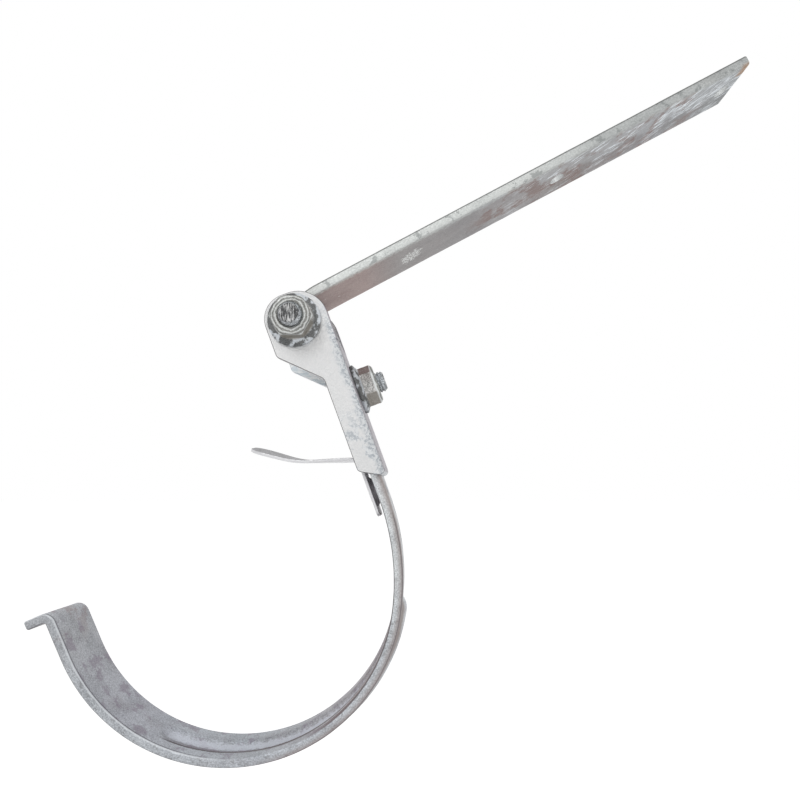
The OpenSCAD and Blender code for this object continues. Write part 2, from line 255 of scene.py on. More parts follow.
def swept(name, stations, width, thick, edge, across, form=None, half_width=None):
    """A bar along its stations. The reference face lies on them and the thickness to their left.
    form(run, y, depth) may move each point. On the "run" map u is the run and v goes round the section."""
    half = bar_section(width, thick, edge, across)
    ring = half + [(y, thick - depth, -v) for y, depth, v in reversed(half[1:-1])]
    count, total = len(ring), stations[-1][0]
    rounding = [(edge * (1 - math.sin(a)), edge * (1 - math.cos(a)))
                for a in (math.radians(90 * k / 3) for k in range(4))]
    rows = [(shift, inset) for shift, inset in reversed(rounding)]
    rows += [(s[0], 0.0) for s in stations if edge < s[0] < total - edge]
    rows += [(total - shift, inset) for shift, inset in rounding]
    verts, rings = [], []
    for run, inset in rows:
        k = next((i for i in range(1, len(stations)) if stations[i][0] >= run), len(stations) - 1)
        (r0, x0, z0, h0), (r1, x1, z1, h1) = stations[k - 1], stations[k]
        f = (run - r0) / (r1 - r0)
        x, z, turn = x0 + f * (x1 - x0), z0 + f * (z1 - z0), math.radians(h0 + f * (h1 - h0))
        start = len(verts)
        reach = half_width(run) / (width / 2) if half_width else 1.0
        for y, depth, v in ring:
            y, depth = y * (1 - 2 * inset / width), thick / 2 + (depth - thick / 2) * (1 - 2 * inset / thick)
            y *= reach
            if form:
                y, depth = form(run, y, depth)
            verts.append((x - depth * math.sin(turn), y, z + depth * math.cos(turn)))
        rings.append((start, run))
    faces, uvs = [], []
    for (a, run_a), (b, run_b) in zip(rings, rings[1:]):
        for k in range(count):
            n = (k + 1) % count
            v0, v1 = ring[k][2], ring[n][2]
            if k == len(half) - 1:
                v0 = -v0
            if n == 0:
                v1 = 0.0
            faces.append((a + k, b + k, b + n, a + n))
            uvs += [(run_a, v0), (run_b, v0), (run_b, v1), (run_a, v1)]
    for (start, run), order in ((rings[0], 1), (rings[-1], -1)):
        for k in range(len(half) - 1):
            face = [start + i % count for i in (k, k + 1, count - k - 1, count - k)]
            face = [p for i, p in enumerate(face) if p not in face[:i]]
            faces.append(tuple(face[::order]))
            uvs += [(run, ring[k][2])] * len(face)
    return made(name, verts, faces, uvs)


def settled(piece, angle=35):
    """Applies the piece's modifiers, and shades it smooth but for edges sharper than the angle."""
    bpy.context.view_layer.update()
    mesh = bpy.data.meshes.new_from_object(piece.evaluated_get(bpy.context.evaluated_depsgraph_get()))
    piece.modifiers.clear()
    piece.data = mesh
    mesh.shade_smooth()
    mesh.set_sharp_from_angle(angle=math.radians(angle))
    return piece


def cut(piece, tool, operation="DIFFERENCE"):
    """Cuts the piece with the tool, and takes the tool away."""
    modifier = piece.modifiers.new("Cut", "BOOLEAN")
    modifier.object, modifier.operation, modifier.solver = tool, operation, "EXACT"
    settled(piece)
    bpy.data.objects.remove(tool)


WALL_V = 50.0


def prism(name, outline, low, high, place):
    """A closed prism over an outline of (a, b) in mm. place(a, b, height) gives its points in mm.
    On the "run" map its walls lie at WALL_V, where no bar has a face."""
    verts = [place(a, b, h) for h in (low, high) for a, b in outline]
    n = len(outline)
    faces = [tuple(range(n))[::-1], tuple(range(n, 2 * n))]
    faces += [(k, (k + 1) % n, n + (k + 1) % n, n + k) for k in range(n)]
    return made(name, verts, faces, [(0.0, WALL_V)] * sum(len(face) for face in faces))


def circle(radius, sides=48):
    return [(radius * math.cos(2 * math.pi * k / sides), radius * math.sin(2 * math.pi * k / sides))
            for k in range(sides)]


EYE_R, ARM_CRANK, CRANK_LEN, EYE_TURN, ARM_LEN = 5.08, 2.1, 16.0, 292.0, 240.0
SCREW_R, EDGE_Y = 3.5, BAR_W / 2 - 0.3
crank_turn = math.degrees(2 * math.atan(ARM_CRANK / CRANK_LEN))
crank_r = CRANK_LEN / 2 / math.sin(math.radians(crank_turn))
roll = math.radians(90 + EYE_TURN)
arm_stations = bent_path(placed(arm_slope, EYE_R * math.cos(roll), EYE_R * math.sin(roll)),
                         EYE_TURN + arm_slope,
                         [(EYE_R, -EYE_TURN), (crank_r, crank_turn), (crank_r, -crank_turn),
                          (ARM_LEN - CRANK_LEN,)])
eye_run = math.radians(EYE_TURN) * EYE_R


def arm_form(run, y, depth):
    """Lumps on the straight bar's faces and edges. The eye and the crank stay even."""
    if run > eye_run + CRANK_LEN + 4:
        if abs(y) > EDGE_Y:
            y += math.copysign(lump(run, depth, 3, 9, 0.07) - 0.07, y)
        else:
            depth += lump(run, y, depth, 6, 0.05)
    return y, depth


arm = swept("Rafter_arm", arm_stations, BAR_W, BAR_T, BAR_EDGE, 28, arm_form)
for screw in (screw_mid, screw_end):
    at = (screw - pivot).dot(along_arm) / MM
    cut(arm, prism("Hole", circle(SCREW_R), 0, 20, lambda a, b, h: from_pivot(arm_slope, at + a, b, h)))
settled(arm)
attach(arm, "arm")
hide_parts("rafter_arm")

# The zinc coat: pale crystals, grey blotches, stains, and a fine grain that also gives its gloss
zinc = bpy.data.node_groups.new("Zinc coat", "ShaderNodeTree")
for label, kind, start in (("Vector", "Vector", None), ("Light", "Color", (0.6, 0.6, 0.6, 1)),
                           ("Dark", "Color", (0.3, 0.3, 0.3, 1)), ("Stain", "Color", (0.2, 0.15, 0.13, 1)),
                           ("Blotches", "Float", 0.4), ("Grain", "Float", 0.3), ("Stains", "Float", 0.2),
                           ("Size", "Float", 1.0)):
    socket = zinc.interface.new_socket(label, in_out="INPUT", socket_type="NodeSocket" + kind)
    if start is not None:
        socket.default_value = start
for label, kind in (("Color", "Color"), ("Roughness", "Float"), ("Height", "Float")):
    zinc.interface.new_socket(label, in_out="OUTPUT", socket_type="NodeSocket" + kind)
coat = Shade(zinc)
given = coat.add("NodeGroupInput").outputs
sized = coat.add("VectorMath", {0: given["Vector"], "Scale": given["Size"]}, operation="SCALE").outputs[0]
blotch = coat.band(coat.noise(sized, 75, 6, 0.62), 0.42, 0.62)
grain = coat.band(coat.noise(sized, 1500, 2, 0.6), 0.38, 0.62)
crystal = coat.add("TexVoronoi", {"Vector": sized, "Scale": 620.0}).outputs["Color"]
crystal = coat.add("SeparateColor", {0: crystal}).outputs[0]
fine = coat.math("ADD", coat.math("MULTIPLY", grain, 0.8), coat.math("MULTIPLY", crystal, 0.2))
share = coat.math("ADD", coat.math("MULTIPLY", blotch, given["Blotches"]),
                  coat.math("MULTIPLY", fine, given["Grain"]), clamp=True)
colour = coat.mix(share, given["Light"], given["Dark"])
stain_noise = coat.noise(coat.add("VectorMath", {0: sized, 1: (3.1, 5.7, 1.3)}).outputs[0], 42, 6, 0.6)
stained = coat.math("MULTIPLY", coat.band(stain_noise, 0.5, 0.68), given["Stains"])
colour = coat.mix(stained, colour, given["Stain"])
rough = coat.math("ADD", coat.math("MULTIPLY", share, 0.22), 0.4, clamp=True)
height = coat.math("ADD", coat.math("MULTIPLY", grain, 0.6), coat.math("MULTIPLY", blotch, 0.4))
out = coat.add("NodeGroupOutput")
for label, value in (("Color", colour), ("Roughness", rough), ("Height", height)):
    zinc.links.new(value, out.inputs[label])


def zinc_material(name, light, dark, stain, blotches, grain, stains, size=1.0, metallic=0.45, relief=0.24,
                  marks=None, flowing=None, dull=1.0):
    """A zinc-coated surface. Its pattern follows the bar where flowing gives a stretch, and is cut from
    the solid elsewhere. marks(shade, colour, run, v, where) adds the piece's own tints."""
    material = bpy.data.materials.new(name)
    material.use_nodes = True
    shade = Shade(material.node_tree)
    laid = shade.add("UVMap", uv_map="run").outputs["UV"]
    where = laid if flowing else shade.add("TexCoord").outputs["Object"]
    vector = shade.add("VectorMath", {0: where, 1: flowing or (1, 1, 1)}, operation="MULTIPLY").outputs[0]
    layer = shade.add("Group", node_tree=zinc)
    for label, value in (("Light", tone(*light)), ("Dark", tone(*dark)), ("Stain", tone(*stain)),
                         ("Blotches", blotches), ("Grain", grain), ("Stains", stains), ("Size", size)):
        layer.inputs[label].default_value = value
    shade.tree.links.new(vector, layer.inputs["Vector"])
    colour = layer.outputs["Color"]
    if marks:
        axes = shade.add("SeparateXYZ", {0: laid}).outputs
        run, v = [shade.math("DIVIDE", axis, MM) for axis in axes[:2]]
        colour = marks(shade, colour, run, v, where)
    metal = shade.tree.nodes["Principled BSDF"]
    metal.inputs["Metallic"].default_value = metallic
    shade.tree.links.new(colour, metal.inputs["Base Color"])
    shade.tree.links.new(shade.math("MULTIPLY", layer.outputs["Roughness"], dull), metal.inputs["Roughness"])
    bump = {"Height": layer.outputs["Height"], "Strength": 0.6, "Distance": relief * MM}
    shade.tree.links.new(shade.add("Bump", bump).outputs["Normal"], metal.inputs["Normal"])
    return material


def arm_marks(shade, colour, run, v, where):
    """A pale near edge that spreads up the bar in white streaks, brown and pink stains beside it, painted
    shade on the rounded arris on top, rust at one corner of the end, painted light on the hole walls, and a
    rough patch left by a clamp."""
    reach = shade.math("SUBTRACT", run, eye_run)
    under = shade.band(v, 1.4, 3.0)
    tints = shade.ramp(shade.math("DIVIDE", reach, ARM_LEN), [
        (0.0, tone(176, 150, 146)), (0.16, tone(178, 154, 150)), (0.24, tone(168, 162, 162)),
        (0.40, tone(166, 162, 164)), (0.50, tone(180, 176, 178)), (0.62, tone(154, 144, 142)),
        (0.80, tone(158, 154, 158)), (1.0, tone(152, 154, 156))])
    flat = shade.mix(0.45, tints, colour, "MULTIPLY")
    colour = shade.mix(shade.product(under, 0.94), colour, flat)

    from_edge = shade.ragged(v, shade.noise(where, 60, 4, 0.55), 26)
    past = shade.math("SUBTRACT", from_edge, shade.band(reach, 80, 185, 2.6, 18.0))
    pale = shade.product(shade.band(past, -3.0, 2.5, 1.0, 0.0), shade.band(reach, 60, 110), under)
    colour = shade.mix(shade.product(pale, 0.35), colour, tone(206, 212, 216))
    blots = shade.band(shade.noise(where, 80, 5, 0.65), 0.50, 0.58)
    brown = shade.product(blots, shade.window(reach, 160, 52, 18), under)
    colour = shade.mix(shade.product(brown, 0.8), colour, tone(132, 108, 102))

    for angle, scale, first in ((-42, 420, 150), (-14, 460, 95)):
        slanted = shade.add("Mapping", {"Vector": where, "Rotation": (0, 0, math.radians(angle)),
                                        "Scale": (5.0, 0.8, 1)}, vector_type="TEXTURE").outputs[0]
        streak = shade.band(shade.noise(slanted, scale, 5, 0.7), 0.51, 0.58)
        gathered = shade.band(shade.noise(where, 95 + scale / 100, 3, 0.5), 0.42, 0.56, 0.1, 1.0)
        by_edge = shade.math("ADD", pale, 0.5, True)
        streaks = shade.product(streak, gathered, shade.band(reach, first, first + 40), by_edge, under)
        colour = shade.mix(shade.product(streaks, 0.95), colour, tone(244, 250, 255))

    spill = shade.band(shade.ragged(v, shade.noise(where, 500, 4, 0.7), 9), 2.4, 4.4, 1.0, 0.0)
    colour = shade.mix(shade.product(spill, under, 0.6), colour, tone(206, 210, 208))
    spot = shade.product(shade.window(reach, 63.5, 0.5, 7.5), shade.window(v, 17.0, 0.5, 8.0), 0.5)
    scraped = shade.band(shade.math("ADD", spot, shade.noise(where, 330, 4, 0.7)), 0.62, 0.74)
    crumbs = shade.band(shade.noise(where, 900, 3, 0.7), 0.46, 0.53)
    colour = shade.mix(shade.product(scraped, crumbs), colour, tone(230, 232, 230))

    near_edge = shade.window(v, 0.0, 1.7, 0.5)
    edge_tone = shade.mix(shade.band(reach, 110, 200), tone(214, 217, 215), tone(158, 161, 161))
    colour = shade.mix(shade.product(near_edge, 0.6), colour, edge_tone)
    spots = shade.product(shade.band(shade.noise(where, 120, 5, 0.65), 0.55, 0.60), near_edge)
    colour = shade.mix(shade.product(spots, 0.55), colour, tone(126, 130, 130))
    # Painted shade: a dark line along the rounded arris on top, where it turns away from the light.
    arris = shade.window(v, -2.0, 0.45, 0.4)
    colour = shade.mix(shade.product(arris, 0.85), colour, tone(96, 98, 96))
    rust = shade.product(shade.window(reach, ARM_LEN, 2.5, 3.0), shade.window(v, 5.0, 2.2, 2.5))
    colour = shade.mix(shade.product(rust, 0.85), colour, tone(176, 138, 104))
    # Painted light: the walls of the screw holes are made pale so that the holes show bright.
    return shade.mix(shade.band(v, WALL_V - 10, WALL_V - 5), colour, tone(228, 230, 230))


arm.data.materials.append(zinc_material(
    "Zinc on the arm", (234, 237, 235), (104, 108, 108), (150, 124, 114), 0.2, 0.42, 0.2,
    marks=arm_marks, flowing=(0.6, 1, 1)))


# Pivot bracket. A steel sheet folded into two cheeks and a web: round beside the arm's eye, and
# narrowing through a slanted throat to the channel that holds the hook's leg. Punched, then zinc dipped.
SHEET_T, CHEEK_IN, CHEEK_OUT = 3.0, 15.3, 18.3
WEB_OUT, WEB_IN, WEB_TOP, FREE_EDGE = 15.4, 12.4, 14.0, 3.5
CHEEK_TOP, CHEEK_FRONT, CHEEK_DROP, THROAT_DROP = 13.1, 13.4, 12.8, 29.2
BACK_ROUND, FRONT_ROUND, CHEEK_ROUND, THROAT_ROUND, END_ROUND = 14.1, 11.5, 3.0, 4.0, 2.5
BRACKET_LEN, END_SLANT, CLAMP_DROP, HOLE_R = 80.5, 6.5, 36.0, 5.4
EDGE_WEAR, LARGE_FACE = 0.3, 100.0
# The shapes that only cut the sheet clear its faces by CLEAR, and reach PAST and DOWN from the pivot
CLEAR, PAST, DOWN = 5.0, 40.0, 100.0


def rounded(points, step=7):
    """An outline of (x, z, radius) corners, with each corner rounded."""
    outline = []
    for i, (x, z, radius) in enumerate(points):
        corner = Vector((x, z))
        before = (Vector(points[i - 1][:2]) - corner).normalized()
        after = (Vector(points[(i + 1) % len(points)][:2]) - corner).normalized()
        half = before.angle(after) / 2
        centre = corner + (before + after).normalized() * (radius / math.sin(half))
        start = corner + before * (radius / math.tan(half)) - centre
        turn = math.pi - 2 * half
        turn *= -1 if before.x * after.y - before.y * after.x > 0 else 1
        count = max(1, math.ceil(math.degrees(abs(turn)) / step)) if radius else 0
        for k in range(count + 1):
            spoke = Matrix.Rotation(turn * k / count, 2) @ start if count else start
            outline.append(tuple(round(c, 3) for c in centre + spoke))
    return outline


side = rounded([
    (WEB_OUT, CHEEK_TOP, BACK_ROUND), (WEB_OUT, -BRACKET_LEN, END_ROUND),
    (FREE_EDGE, END_SLANT - BRACKET_LEN, END_ROUND), (FREE_EDGE, -THROAT_DROP, THROAT_ROUND),
    (-CHEEK_FRONT, -CHEEK_DROP, CHEEK_ROUND), (-CHEEK_FRONT, CHEEK_TOP, FRONT_ROUND)])
fold = rounded([(-PAST, -CHEEK_OUT, 0), (WEB_OUT, -CHEEK_OUT, SHEET_T), (WEB_OUT, CHEEK_OUT, SHEET_T),
                (-PAST, CHEEK_OUT, 0), (-PAST, CHEEK_IN, 0), (WEB_IN, CHEEK_IN, 0),
                (WEB_IN, -CHEEK_IN, 0), (-PAST, -CHEEK_IN, 0)], 10)
upper = [(-PAST, -WEB_TOP), (PAST, -WEB_TOP), (PAST, PAST), (-PAST, PAST)]
bracket = prism("Pivot_bracket", fold, -DOWN, -WEB_TOP, lambda a, b, h: (a, b, h))
for low, high in ((-CHEEK_OUT, -CHEEK_IN), (CHEEK_IN, CHEEK_OUT)):
    cut(bracket, prism("Cheek", upper, low, high, lambda a, b, h: (a, h, b)), "UNION")
beside = CHEEK_OUT + CLEAR
cut(bracket, prism("Side", side, -beside, beside, lambda a, b, h: (a, h, b)), "INTERSECT")
cut(bracket, prism("Pivot hole", circle(HOLE_R), -beside, beside, lambda a, b, h: (a, h, b)))
cut(bracket, prism("Clamp hole", circle(HOLE_R), 0, WEB_OUT + CLEAR, lambda a, b, h: (h, b, a - CLAMP_DROP)))

# The flat faces are joined up again, and the edges that wear are marked. The ends of the fold's round and
# the inner edges at the web stay sharp, since their steps are finer than the wear.
bm = bmesh.new()
bm.from_mesh(bracket.data)
bmesh.ops.remove_doubles(bm, verts=bm.verts, dist=0.01 * MM)
bmesh.ops.dissolve_limit(bm, angle_limit=math.radians(1), verts=bm.verts, edges=bm.edges)
worn = bm.edges.layers.float.new("bevel_weight_edge")
for edge in bm.edges:
    ends = [vert.co / MM for vert in edge.verts]
    fold_end = all(end.x > WEB_IN - 0.1 and abs(end.z + WEB_TOP) < 0.1 for end in ends)
    inside = all(abs(end.x - WEB_IN) < 2 * EDGE_WEAR and abs(end.y) < CHEEK_OUT - 0.1 for end in ends)
    sharp = edge.calc_face_angle(0) > math.radians(35)
    edge[worn] = 1.0 if sharp and not fold_end and not inside else 0.0
bm.to_mesh(bracket.data)
bm.free()


def bracket_marks(shade, colour, run, v, where):
    """Blue-grey specks along the fold and the web and on the cheeks' lower ends, a purple-brown line where
    the web's face ends, and painted light in white streaks on the far cheek's inside, which lies in shade."""
    local = shade.add("VectorMath", {0: where, 1: tuple(pivot)}, operation="SUBTRACT").outputs[0]
    sine, cosine = math.sin(math.radians(leg_slope)) / MM, math.cos(math.radians(leg_slope)) / MM
    across, along, down = [
        shade.add("VectorMath", {0: local, 1: axis}, operation="DOT_PRODUCT").outputs["Value"]
        for axis in ((cosine, 0, sine), (0, 1 / MM, 0), (sine, 0, -cosine))]
    cloud = shade.noise(where, 130, 4, 0.6)
    near_fold = shade.band(shade.ragged(across, cloud, 8), 10.5, 13.5)
    low_end = shade.product(shade.band(down, 40, 62), shade.band(cloud, 0.46, 0.54), 0.9)
    there = shade.product(shade.math("MAXIMUM", near_fold, low_end), shade.band(down, -8, 12))
    colour = shade.mix(shade.product(there, 0.3), colour, tone(214, 222, 228))
    specks = shade.product(shade.band(shade.noise(where, 900, 4, 0.65), 0.46, 0.58), there)
    colour = shade.mix(shade.product(specks, 0.62), colour, tone(136, 146, 156))
    edge = shade.window(across, WEB_OUT, 0.25, 0.5)
    colour = shade.mix(shade.product(edge, 0.5), colour, tone(140, 124, 134))

    # Painted light: the far cheek's inside, which lies in shade, is made near white in streaks.
    painted_light_far_inside = shade.product(shade.window(along, 14.0, 2.4, 0.3), shade.band(across, 9.0, 12.0, 1.0, 0.0))
    drawn = shade.add("VectorMath", {0: where, 1: (0.3, 1, 1)}, operation="MULTIPLY").outputs[0]
    streak = shade.band(shade.noise(drawn, 700), 0.4, 0.6)
    clean = shade.mix(streak, tone(214, 226, 234), tone(250, 252, 254))
    return shade.mix(shade.product(painted_light_far_inside, 0.7), colour, clean)


# The edges copy is a darker copy of the zinc: painted shade on the worn bevels, which take material 1.
for name, light, dark in (("faces", (227, 227, 227), (186, 190, 194)),
                          ("edges", (112, 108, 110), (84, 82, 84))):
    bracket.data.materials.append(zinc_material(
        "Zinc on the bracket's " + name, light, dark, (150, 140, 136), 0.06, 0.14, 0.0, marks=bracket_marks))
wear = bracket.modifiers.new("Worn edges", "BEVEL")
wear.width, wear.segments, wear.limit_method = EDGE_WEAR * MM, 2, "WEIGHT"
# Material 1 puts the darker, painted-shade copy of the zinc on the bevels.
wear.material, wear.use_clamp_overlap = 1, False
settled(bracket)
for face in bracket.data.polygons:
    face.use_smooth = face.area < LARGE_FACE * MM ** 2
bracket.data.transform(Matrix.Translation(pivot) @ Matrix.Rotation(math.radians(-leg_slope), 4, "Y"))
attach(bracket, "bracket")
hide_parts("pivot_bracket")


# Bolts. Round heads with a square neck that stops them turning, and a rolled thread that the zinc
# has half filled. The pivot bolt goes through cheeks and eye, the clamp bolt through slot and web.
def turned_piece(name, rows, sides, place):
    """A closed turned shape from its first pole to its last. Each row is a function of the angle
    that gives (radius, height) in mm. place(x, y, h) gives the points. On the "run" map u follows the
    outline in mm and v is the sine of the angle."""
    verts = [place(0, 0, rows[0](0)[1])]
    for row in rows[1:-1]:
        for k in range(sides):
            a = 2 * math.pi * k / sides
            radius, height = row(a)
            verts.append(place(radius * math.cos(a), radius * math.sin(a), height))
    verts.append(place(0, 0, rows[-1](0)[1]))
    rings = len(rows) - 2
    faces = [(0, 1 + (k + 1) % sides, 1 + k) for k in range(sides)]
    for r in range(rings - 1):
        for k in range(sides):
            n = (k + 1) % sides
            a, b = 1 + r * sides, 1 + (r + 1) * sides
            faces.append((a + k, a + n, b + n, b + k))
    last = 1 + (rings - 1) * sides
    faces += [(last + k, last + (k + 1) % sides, len(verts) - 1) for k in range(sides)]
    runs, at = [], 0.0
    for before, row in zip([rows[0]] + rows, rows):
        at += math.dist(before(0.1), row(0.1))
        runs.append(at)
    corners = []
    for vert in (vert for face in faces for vert in face):
        ring, k = divmod(vert - 1, sides)
        corners.append((runs[ring + 1], math.sin(2 * math.pi * k / sides)))
    piece = made(name, verts, faces, corners)
    piece["run"] = at
    return piece


BOLT_R, PITCH, THREAD_DEPTH, THREAD_STEP, END_CHAMFER = 5.0, 1.5, 0.62, 0.25, 1.2
HEAD_R, HEAD_H, HEAD_RIM, NECK_CORNER, NECK_BACK = 12.5, 5.5, 0.4, 1.34, 0.3
PIVOT_BOLT_L, CLAMP_BOLT_L, LEG_IN, FACE_GAP = 50.0, 21.5, 8.0, 0.1


def round_bolt(name, length, neck, place, body):
    """A bolt with its head's underside at 0, its dome above and its thread below."""
    dome = (HEAD_R ** 2 + HEAD_H ** 2) / (2 * HEAD_H)
    rows = [lambda a: (0, HEAD_H)]
    for k in range(1, 15):
        radius = (HEAD_R - HEAD_RIM) * math.sin(math.pi / 2 * k / 14)
        height = HEAD_H - dome + math.sqrt(dome ** 2 - radius ** 2)

        def domed(a, r=radius, h=height):
            return r, h + 0.06 * noise.noise(Vector((r, 9 * math.cos(a), a)))
        rows.append(domed)
    rows.append(lambda a: (HEAD_R - HEAD_RIM, 0.0))

    def square(a):
        return min(BOLT_R / max(abs(math.cos(a)), abs(math.sin(a))), BOLT_R * NECK_CORNER)
    rows += [lambda a: (square(a), 0.0), lambda a: (square(a), -neck + 0.5),
             lambda a: (min(square(a), BOLT_R + 0.6), -neck), lambda a: (BOLT_R - 0.3, -neck - 0.05)]

    steps = int((length - neck) / THREAD_STEP)
    for k in range(1, steps + 1):
        height = -neck - (length - neck) * k / steps

        def thread(a, h=height):
            wave = abs(((h / PITCH + a / (2 * math.pi)) % 1) * 2 - 1)
            radius = BOLT_R - THREAD_DEPTH * max(0.0, min(1.0, 1.25 * wave - 0.12))
            radius += 0.07 * noise.noise(Vector((math.cos(a) * 3, math.sin(a) * 3, h * 1.1)))
            chamfer = BOLT_R - END_CHAMFER + (h + length)
            return min(radius, chamfer, BOLT_R), h
        rows.append(thread)
    for k in range(1, 9):
        radius = (BOLT_R - END_CHAMFER) * (1 - k / 9)

        def end_face(a, r=radius):
            uneven = 0.5 + noise.noise(Vector((r * math.cos(a) * 1.1, r * math.sin(a) * 0.35, 2.0)))
            return r, -length + 0.22 * max(0.0, uneven)
        rows.append(end_face)
    rows.append(lambda a: (0, -length + 0.1))
    piece = turned_piece(name, rows, 72, place)
    settled(piece, 40)
    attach(piece, body)
    return piece


pivot_bolt = round_bolt("Pivot_bolt", PIVOT_BOLT_L, SHEET_T - NECK_BACK,
                        lambda x, y, h: from_pivot(leg_slope, x, CHEEK_OUT + h, y), "bracket")
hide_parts("pivot_bolt")
clamp_bolt = round_bolt("Clamp_bolt", CLAMP_BOLT_L, BAR_T - NECK_BACK,
                        lambda x, y, h: from_pivot(leg_slope, LEG_IN - FACE_GAP - h, x, y - CLAMP_DROP),
                        "bracket")
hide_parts("clamp_bolt")


def bolt_marks(total):
    """A clean dome, and a dark end face with light streaks, on a bolt whose outline runs that far."""
    def marks(shade, colour, run, v, where):
        head = shade.band(run, 16.0, 19.0, 1.0, 0.0)
        colour = shade.mix(shade.product(head, 0.7), colour, tone(204, 207, 208))
        drawn = shade.add("Mapping", {"Vector": where, "Scale": (1.5, 1, 0.35)}).outputs[0]
        streak = shade.band(shade.noise(drawn, 1100, 3, 0.65), 0.46, 0.60)
        dark = shade.mix(streak, tone(66, 66, 66), tone(206, 206, 206))
        end_face = shade.band(run, total - 4.9, total - 4.2)
        return shade.mix(shade.product(end_face, 0.92), colour, dark)
    return marks


for bolt, name in ((pivot_bolt, "pivot bolt"), (clamp_bolt, "clamp bolt")):
    bolt.data.materials.append(zinc_material(
        "Zinc on the " + name, (232, 238, 242), (56, 60, 64), (120, 92, 84), 0.3, 0.75, 0.1, size=1.2,
        metallic=0.5, relief=0.32, marks=bolt_marks(bolt["run"])))


# Nuts. Hexagon nuts with a wide flange, one outside the near cheek and one on the web. Forged and
# tapped, with thick zinc on them that is blotched light and brown-grey.
NUT_AF, NUT_H, NUT_CHAMFER, FACE_INSET, BORE_FLARE = 17.0, 10.2, 1.6, 0.4, 0.8
FLANGE_R, FLANGE_T, FLANGE_SLOPE, FLANGE_BLEND, THREAD_GAP = 12.0, 1.5, 0.6, 0.5, 0.05


def flange_nut(name, turn, place, body):
    """A nut with its seat at 0 and its free face above."""
    corner = NUT_AF / math.sqrt(3)
    bore, face = BOLT_R + THREAD_GAP, NUT_AF / 2 - FACE_INSET

    def outside(a, h):
        nearest = (a - math.radians(turn) + math.pi / 6) % (math.pi / 3) - math.pi / 6
        flat = min(NUT_AF / 2 / math.cos(math.pi / 6 - abs(nearest)), corner - 0.25)
        skirt = FLANGE_R - max(0.0, h - FLANGE_T) / FLANGE_SLOPE
        near = max(0.0, 1 - abs(flat - skirt) / FLANGE_BLEND)
        radius = max(flat, skirt) + FLANGE_BLEND / 4 * near ** 2
        radius = min(radius, face + (NUT_H - h) * (corner - face) / NUT_CHAMFER)
        return radius + 0.05 * noise.noise(Vector((math.cos(a) * 3, math.sin(a) * 3, h * 0.5 + turn)))
    rows = [lambda a: (0, BORE_FLARE), lambda a: (bore, BORE_FLARE), lambda a: (bore + BORE_FLARE, 0.0),
            lambda a: (FLANGE_R - 0.5, 0.0), lambda a: (outside(a, 0.25) - 0.25, 0.25)]
    heights = [0.7, 1.2] + [FLANGE_T + 0.3 * k for k in range(11)] + [5.2, 6.2, 7.2, 8.0]
    heights += [8.4 + 0.2 * k for k in range(9)]
    rows += [lambda a, h=height: (outside(a, h), h) for height in heights]
    for k in range(1, 6):
        def free_face(a, r=face + (bore + BORE_FLARE - face) * k / 5):
            uneven = noise.noise(Vector((r * math.cos(a) * 0.5, r * math.sin(a) * 0.5, turn)))
            return r, NUT_H - 0.02 + 0.12 * uneven
        rows.append(free_face)
    rows += [lambda a: (bore, NUT_H - BORE_FLARE), lambda a: (bore, NUT_H - 3), lambda a: (0, NUT_H - 3)]
    piece = turned_piece(name, rows, 120, place)
    settled(piece, 40)
    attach(piece, body)
    return piece


pivot_nut = flange_nut("Pivot_nut", -leg_slope,
                       lambda x, y, h: from_pivot(leg_slope, x, -CHEEK_OUT - h, y), "bracket")
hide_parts("pivot_nut")
clamp_nut = flange_nut("Clamp_nut", 90,
                       lambda x, y, h: from_pivot(leg_slope, WEB_OUT + h, x, y - CLAMP_DROP), "bracket")
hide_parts("clamp_nut")
# How far round a nut's outline, from its seat's middle, its free face begins
FACE_RUN = 22.6


def nut_marks(shade, colour, run, v, where):
    """Scored rings on the free face, a bright worn line round its hexagon, a dirty flange that is darker on
    its left side as painted shade, brown on the lower faces and dark red-brown on the upper one."""
    cloud = shade.noise(where, 190, 4, 0.6)
    turns = shade.product(run, 2 * math.pi / 1.5)
    ring = shade.band(shade.math("SINE", shade.math("ADD", turns, shade.product(cloud, 13))), -0.6, 0.9)
    rings = shade.mix(ring, tone(112, 114, 110), tone(222, 226, 224))
    colour = shade.mix(shade.product(shade.band(run, FACE_RUN, FACE_RUN + 0.5), 0.66), colour, rings)
    worn = shade.window(run, FACE_RUN + 0.1, 0.25, 0.3)
    colour = shade.mix(shade.product(worn, 0.75), colour, tone(236, 240, 240))
    below_face = shade.band(run, FACE_RUN - 0.3, FACE_RUN + 0.2, 1.0, 0.0)
    flats = shade.product(shade.band(run, 16.2, 17.4), below_face)
    low = shade.product(flats, shade.band(v, -0.44, -0.56), 0.75)
    colour = shade.mix(low, colour, tone(146, 140, 130))
    high = shade.product(flats, shade.band(v, 0.46, 0.56), 0.8)
    colour = shade.mix(high, colour, tone(112, 84, 78))
    skirt = shade.math("SUBTRACT", shade.band(run, 11.6, 12.4), shade.band(run, 16.2, 17.6))
    # Painted shade: the flange's blots grow darker on the side left of the pivot.
    x = shade.add("SeparateXYZ", {0: where}).outputs[0]
    painted_shade_left = shade.math("MINIMUM", shade.product(shade.math("SUBTRACT", x, pivot.x), 9.0), 0.0)
    blots = shade.band(shade.math("ADD", cloud, painted_shade_left), 0.47, 0.56)
    dirt_and_shade = shade.mix(blots, tone(70, 74, 76), tone(214, 220, 226))
    return shade.mix(shade.product(skirt, 0.8), colour, dirt_and_shade)


nut_zinc = zinc_material("Zinc on the nuts", (232, 230, 228), (84, 86, 82), (112, 92, 84), 0.25, 0.6, 0.3,
                         size=1.3, metallic=0.5, relief=0.28, marks=nut_marks)
for nut in (pivot_nut, clamp_nut):
    nut.data.materials.append(nut_zinc)


